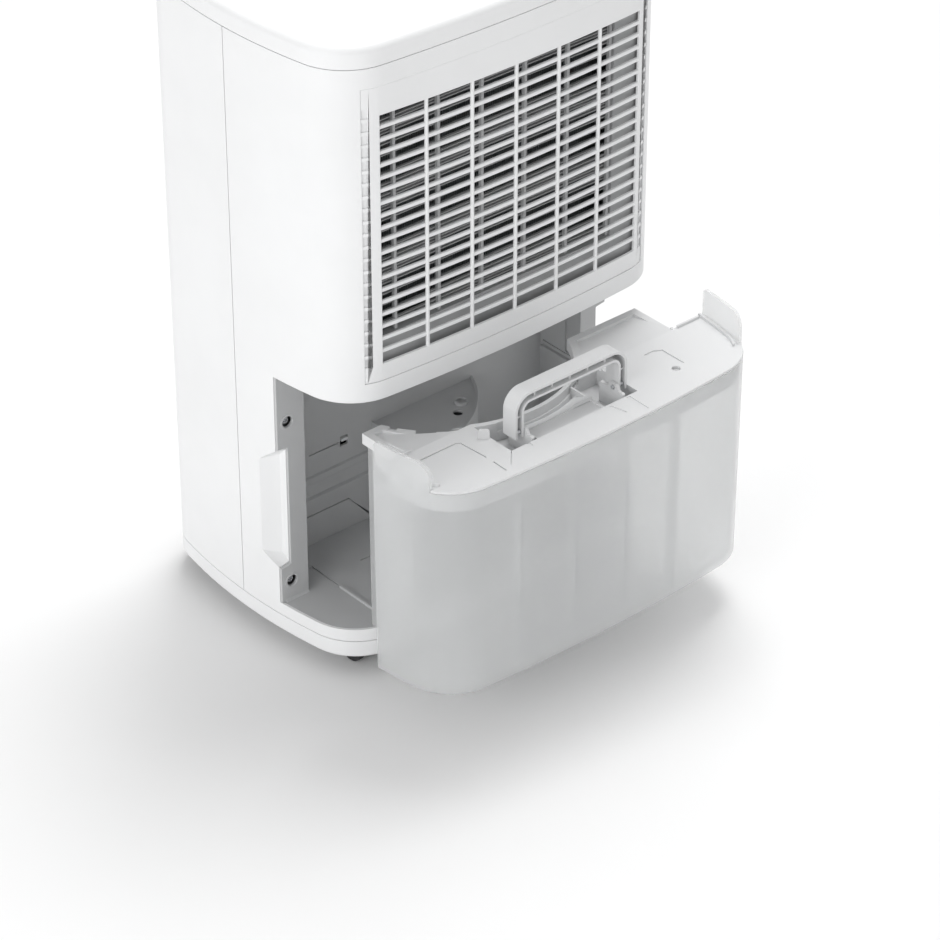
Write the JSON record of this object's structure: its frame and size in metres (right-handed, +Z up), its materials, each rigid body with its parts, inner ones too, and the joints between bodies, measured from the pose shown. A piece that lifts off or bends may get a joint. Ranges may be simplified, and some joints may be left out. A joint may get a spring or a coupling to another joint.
{
  "type": "dehumidifier",
  "caption": "Floor-standing dehumidifier with a slatted air intake, a pull-out translucent water tank with a folding carry handle, a top outlet louvre and swivel castors.",
  "frame": {"origin": "on the floor, at the middle of the footprint with the tank drawn out", "axes": "+Z up, -Y towards the intake grille and the tank, +X to the right when facing +Y"},
  "size_m": [0.386, 0.4065, 0.616],
  "materials": {
    "white_shell": "satin moulded",
    "grey_liner": "fine matte",
    "lid_grey": "satin moulded",
    "frosted_tank": "frosted translucent plastic",
    "dark_plastic": "matte",
    "steel": "plain",
    "aluminium_fins": "thin fins",
    "copper_pipe": "drawn copper",
    "black_paint": "satin enamel",
    "board_green": "solder mask",
    "smoked_window": "gloss"
  },
  "bodies": {
    "intake_grille": {"air_filter": "dark_plastic", "intake_grille": "white_shell"},
    "housing": {"base_pan": "white_shell", "compressor": "black_paint", "compressor_foot_1": "dark_plastic", "compressor_foot_2": "dark_plastic", "compressor_foot_3": "dark_plastic", "compressor_foot_4": "dark_plastic", "compressor_shelf": "steel", "condenser_coil": "aluminium_fins", "control_board": "board_green", "control_panel": "dark_plastic", "discharge_pipe": "copper_pipe", "display_window": "smoked_window", "drip_tray": "dark_plastic", "evaporator_coil": "aluminium_fins", "fan_motor": "steel", "fan_shroud": "dark_plastic", "front_shell": "white_shell", "louvre_motor": "dark_plastic", "outlet_grille": "white_shell", "power_inlet_gland": "dark_plastic", "rear_shell": "white_shell", "run_capacitor": "aluminium_fins", "strip_screw_1": "steel", "strip_screw_2": "steel", "strip_screw_3": "steel", "strip_screw_4": "steel", "suction_pipe": "copper_pipe", "tank_bay_liner": "grey_liner", "tank_switch": "dark_plastic", "top_cover": "white_shell"},
    "castor_swivel_1": {"castor_hood_1": "dark_plastic"},
    "castor_swivel_2": {"castor_hood_2": "dark_plastic"},
    "castor_swivel_3": {"castor_hood_3": "dark_plastic"},
    "castor_swivel_4": {"castor_hood_4": "dark_plastic"},
    "castor_wheels_1": {"castor_wheels_1": "dark_plastic"},
    "castor_wheels_2": {"castor_wheels_2": "dark_plastic"},
    "castor_wheels_3": {"castor_wheels_3": "dark_plastic"},
    "castor_wheels_4": {"castor_wheels_4": "dark_plastic"},
    "down_button": {"down_button": "white_shell"},
    "fan_button": {"fan_button": "white_shell"},
    "fan_wheel": {"fan_wheel": "white_shell"},
    "float": {"float_arm": "lid_grey", "float_block": "white_shell"},
    "tank": {"handle_pin_left": "steel", "handle_pin_right": "steel", "tank_lid": "lid_grey", "tank_shell": "frosted_tank"},
    "mode_button": {"mode_button": "white_shell"},
    "outlet_louvre": {"outlet_louvre": "white_shell"},
    "power_button": {"power_button": "white_shell"},
    "tank_handle": {"tank_handle": "lid_grey"},
    "tank_switch_lever": {"tank_switch_lever": "white_shell"},
    "up_button": {"up_button": "white_shell"}
  },
  "joints": [
    {"name": "tank_slide", "type": "slide", "parent": "housing", "child": "tank", "axis": [0, -1, 0], "range_m": [-0.1285, 0]},
    {"name": "tank_handle_fold", "type": "hinge", "parent": "tank", "child": "tank_handle", "pos_m": [-0.0105, -0.15675, 0.2618], "axis": [1, 0, 0], "range_deg": [0, 90.5]},
    {"name": "float_lift", "type": "hinge", "parent": "tank", "child": "float", "pos_m": [0.112, -0.09925, 0.243], "axis": [-1, 0, 0], "range_deg": [0, 18]},
    {"name": "grille_pull", "type": "slide", "parent": "housing", "child": "intake_grille", "axis": [0, -1, 0], "range_m": [0, 0.06]},
    {"name": "fan_spin", "type": "hinge", "parent": "housing", "child": "fan_wheel", "pos_m": [0, 0.08225, 0.436], "axis": [0, 1, 0], "continuous": true},
    {"name": "louvre_swing", "type": "hinge", "parent": "housing", "child": "outlet_louvre", "pos_m": [0, 0.10625, 0.61], "axis": [1, 0, 0], "range_deg": [0, 75]},
    {"name": "switch_press", "type": "hinge", "parent": "housing", "child": "tank_switch_lever", "pos_m": [-0.098, 0.08375, 0.1375], "axis": [-1, 0, 0], "range_deg": [0, 6], "stiffness_Nm_per_rad": 0.02},
    {"name": "power_press", "type": "slide", "parent": "housing", "child": "power_button", "axis": [0, 0, -1], "range_m": [0, 0.0015], "stiffness_N_per_m": 300},
    {"name": "mode_press", "type": "slide", "parent": "housing", "child": "mode_button", "axis": [0, 0, -1], "range_m": [0, 0.0015], "stiffness_N_per_m": 300},
    {"name": "fan_press", "type": "slide", "parent": "housing", "child": "fan_button", "axis": [0, 0, -1], "range_m": [0, 0.0015], "stiffness_N_per_m": 300},
    {"name": "down_press", "type": "slide", "parent": "housing", "child": "down_button", "axis": [0, 0, -1], "range_m": [0, 0.0015], "stiffness_N_per_m": 300},
    {"name": "up_press", "type": "slide", "parent": "housing", "child": "up_button", "axis": [0, 0, -1], "range_m": [0, 0.0015], "stiffness_N_per_m": 300},
    {"name": "castor_turn_1", "type": "hinge", "parent": "housing", "child": "castor_swivel_1", "pos_m": [-0.146, -0.03975, 0.03], "axis": [0, 0, 1], "continuous": true},
    {"name": "castor_roll_1", "type": "hinge", "parent": "castor_swivel_1", "child": "castor_wheels_1", "pos_m": [-0.146, -0.03475, 0.014], "axis": [1, 0, 0], "continuous": true},
    {"name": "castor_turn_2", "type": "hinge", "parent": "housing", "child": "castor_swivel_2", "pos_m": [0.146, -0.03975, 0.03], "axis": [0, 0, 1], "continuous": true},
    {"name": "castor_roll_2", "type": "hinge", "parent": "castor_swivel_2", "child": "castor_wheels_2", "pos_m": [0.146, -0.03475, 0.014], "axis": [1, 0, 0], "continuous": true},
    {"name": "castor_turn_3", "type": "hinge", "parent": "housing", "child": "castor_swivel_3", "pos_m": [-0.146, 0.16825, 0.03], "axis": [0, 0, 1], "continuous": true},
    {"name": "castor_roll_3", "type": "hinge", "parent": "castor_swivel_3", "child": "castor_wheels_3", "pos_m": [-0.146, 0.17325, 0.014], "axis": [1, 0, 0], "continuous": true},
    {"name": "castor_turn_4", "type": "hinge", "parent": "housing", "child": "castor_swivel_4", "pos_m": [0.146, 0.16825, 0.03], "axis": [0, 0, 1], "continuous": true},
    {"name": "castor_roll_4", "type": "hinge", "parent": "castor_swivel_4", "child": "castor_wheels_4", "pos_m": [0.146, 0.17325, 0.014], "axis": [1, 0, 0], "continuous": true}
  ],
  "couplings": [
    {"joint": "tank_handle_fold", "follows": "tank_slide", "rad_per_m": -12.224}
  ]
}
